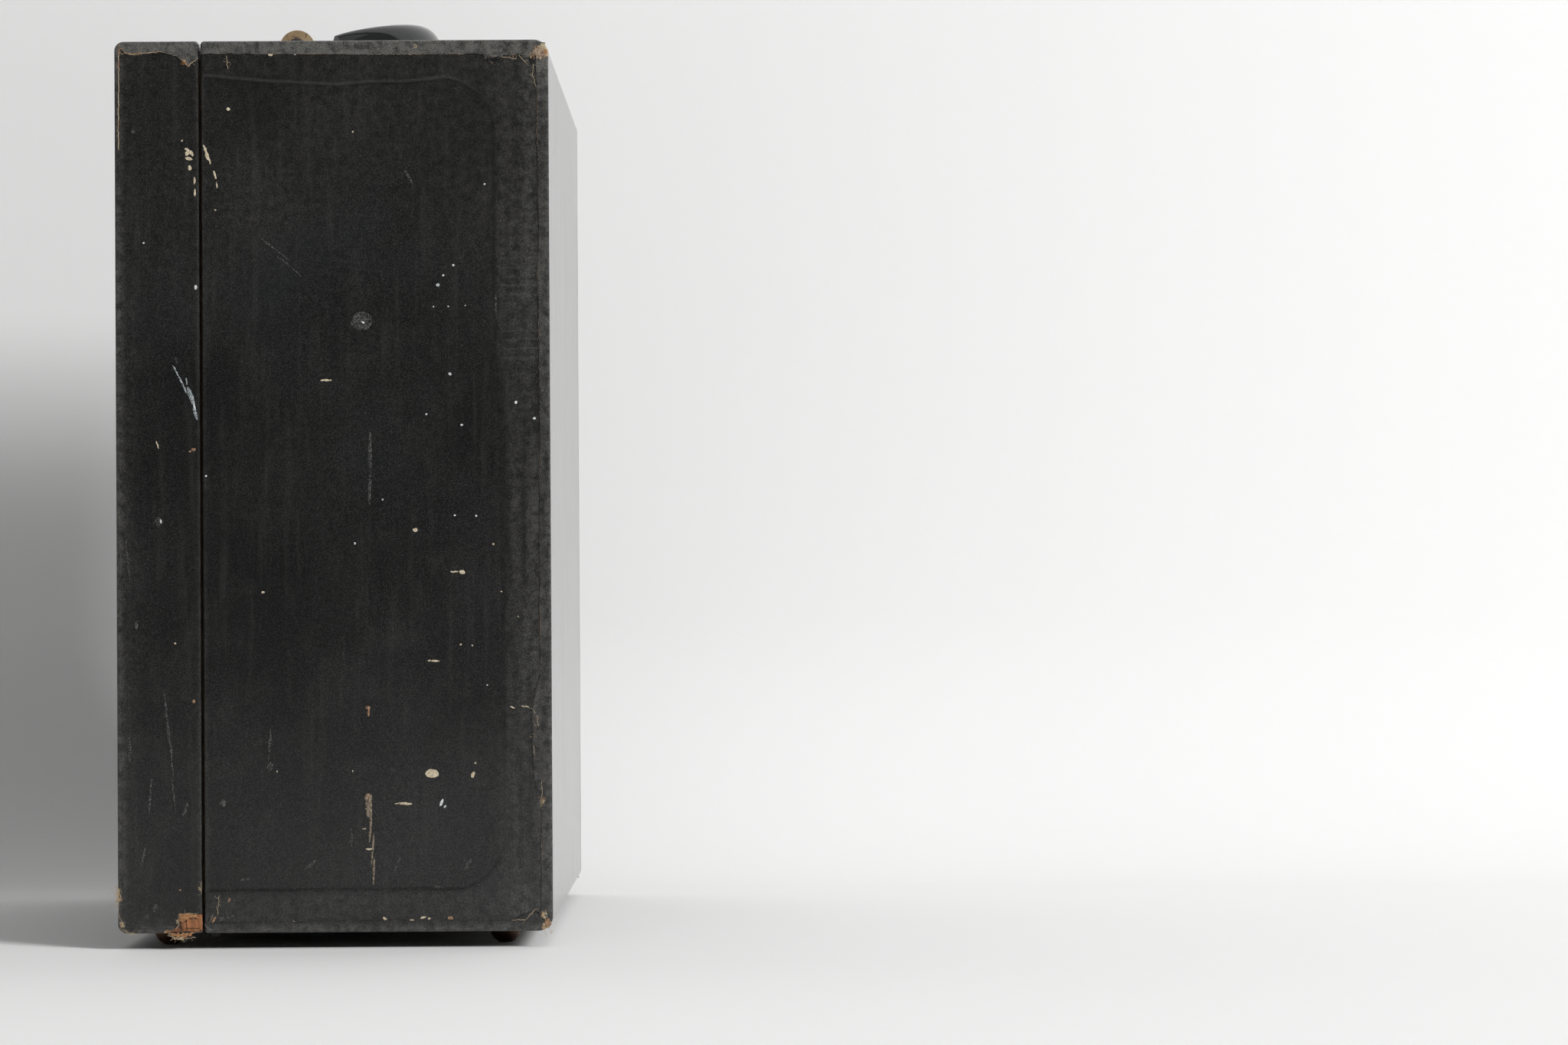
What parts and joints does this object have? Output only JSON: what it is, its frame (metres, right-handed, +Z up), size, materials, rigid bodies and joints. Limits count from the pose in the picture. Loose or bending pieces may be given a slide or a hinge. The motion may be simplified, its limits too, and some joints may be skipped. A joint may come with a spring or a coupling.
{
  "type": "typewriter case",
  "caption": "Hard carrying case for a portable typewriter: shallow base, deep hinged lid in worn black leathercloth, swing handle and spring latches.",
  "frame": {"origin": "on the floor under the middle of the closed case, which stands on its back wall", "axes": "+X from the base tray to the lid, +Y towards the left end, +Z up from the back wall to the front wall with the handle"},
  "size_m": [0.186, 0.362, 0.4148],
  "materials": {
    "leathercloth": "fine pebble grain, worn, matt",
    "board": "plain sawn softwood and plywood",
    "batten_wood": "plain planed strip",
    "lining": "flock paper",
    "brass": "old brass gone brown, rubbed bright on the crown",
    "stud_metal": "dark bronzed",
    "hinge_steel": "plated steel, dulled",
    "latch_metal": "nickel-plated steel, dulled",
    "screw_steel": "plated steel",
    "core_steel": "plain steel",
    "grip": "moulded, glossy",
    "clip_steel": "plated steel",
    "felt": "pressed felt"
  },
  "bodies": {
    "root": {"base_panel": "board", "base_front_wall": "board", "base_back_wall": "board", "base_left_end": "board", "base_right_end": "board", "base_wrap_covering": "leathercloth", "base_left_end_covering": "leathercloth", "base_right_end_covering": "leathercloth", "base_battens": "batten_wood", "base_lining": "lining", "base_tongue": "batten_wood", "base_feet": "stud_metal", "hinge_base_leaves": "hinge_steel", "hinge_pins": "hinge_steel", "hinge_base_screws": "screw_steel", "left_lock_case": "latch_metal", "right_lock_case": "latch_metal", "lock_rivets": "latch_metal", "rear_hooks": "clip_steel", "hook_screws": "screw_steel", "clip_posts": "clip_steel", "rest_pads": "felt"},
    "lid": {"lid_panel": "board", "lid_front_wall": "board", "lid_back_wall": "board", "lid_left_end": "board", "lid_right_end": "board", "lid_wrap_covering": "leathercloth", "lid_left_end_covering": "leathercloth", "lid_right_end_covering": "leathercloth", "lid_battens": "batten_wood", "lid_corner_posts": "batten_wood", "lid_lining": "lining", "lid_feet": "stud_metal", "hinge_lid_leaves": "hinge_steel", "hinge_lid_screws": "screw_steel", "hasp_plates": "latch_metal", "hasp_pins": "latch_metal", "hasp_springs": "latch_metal", "hasp_plate_rivets": "latch_metal", "handle_lugs": "brass", "handle_lug_bolts": "brass", "handle_backing_plates": "core_steel"},
    "handle": {"handle_core": "core_steel", "handle_grip": "grip"},
    "left_hasp": {"left_hasp": "latch_metal"},
    "right_hasp": {"right_hasp": "latch_metal"},
    "left_lock_slide": {"left_lock_slide": "latch_metal"},
    "right_lock_slide": {"right_lock_slide": "latch_metal"},
    "left_hold_clip": {"left_hold_clip": "clip_steel"},
    "right_hold_clip": {"right_hold_clip": "clip_steel"}
  },
  "joints": [
    {"name": "lid_hinge", "type": "hinge", "parent": "root", "child": "lid", "pos_m": [-0.0565, 0, 0.004], "axis": [0, 1, 0], "range_deg": [0, 104]},
    {"name": "handle_swing", "type": "hinge", "parent": "lid", "child": "handle", "pos_m": [-0.024, 0, 0.3974], "axis": [0, -1, 0], "range_deg": [0, 165]},
    {"name": "right_hasp_hinge", "type": "hinge", "parent": "lid", "child": "right_hasp", "pos_m": [-0.046, -0.09, 0.3917], "axis": [0, 1, 0], "range_deg": [-9, 80], "stiffness_Nm_per_rad": 0.05},
    {"name": "right_lock_travel", "type": "slide", "parent": "root", "child": "right_lock_slide", "axis": [0, 1, 0], "range_m": [0, 0.004]},
    {"name": "right_clip_turn", "type": "hinge", "parent": "root", "child": "right_hold_clip", "pos_m": [-0.0866, -0.11, 0.329], "axis": [-1, 0, 0], "range_deg": [0, 90]},
    {"name": "left_hasp_hinge", "type": "hinge", "parent": "lid", "child": "left_hasp", "pos_m": [-0.046, 0.09, 0.3917], "axis": [0, 1, 0], "range_deg": [-9, 80], "stiffness_Nm_per_rad": 0.05},
    {"name": "left_lock_travel", "type": "slide", "parent": "root", "child": "left_lock_slide", "axis": [0, -1, 0], "range_m": [0, 0.004]},
    {"name": "left_clip_turn", "type": "hinge", "parent": "root", "child": "left_hold_clip", "pos_m": [-0.0866, 0.11, 0.329], "axis": [1, 0, 0], "range_deg": [0, 90]}
  ]
}
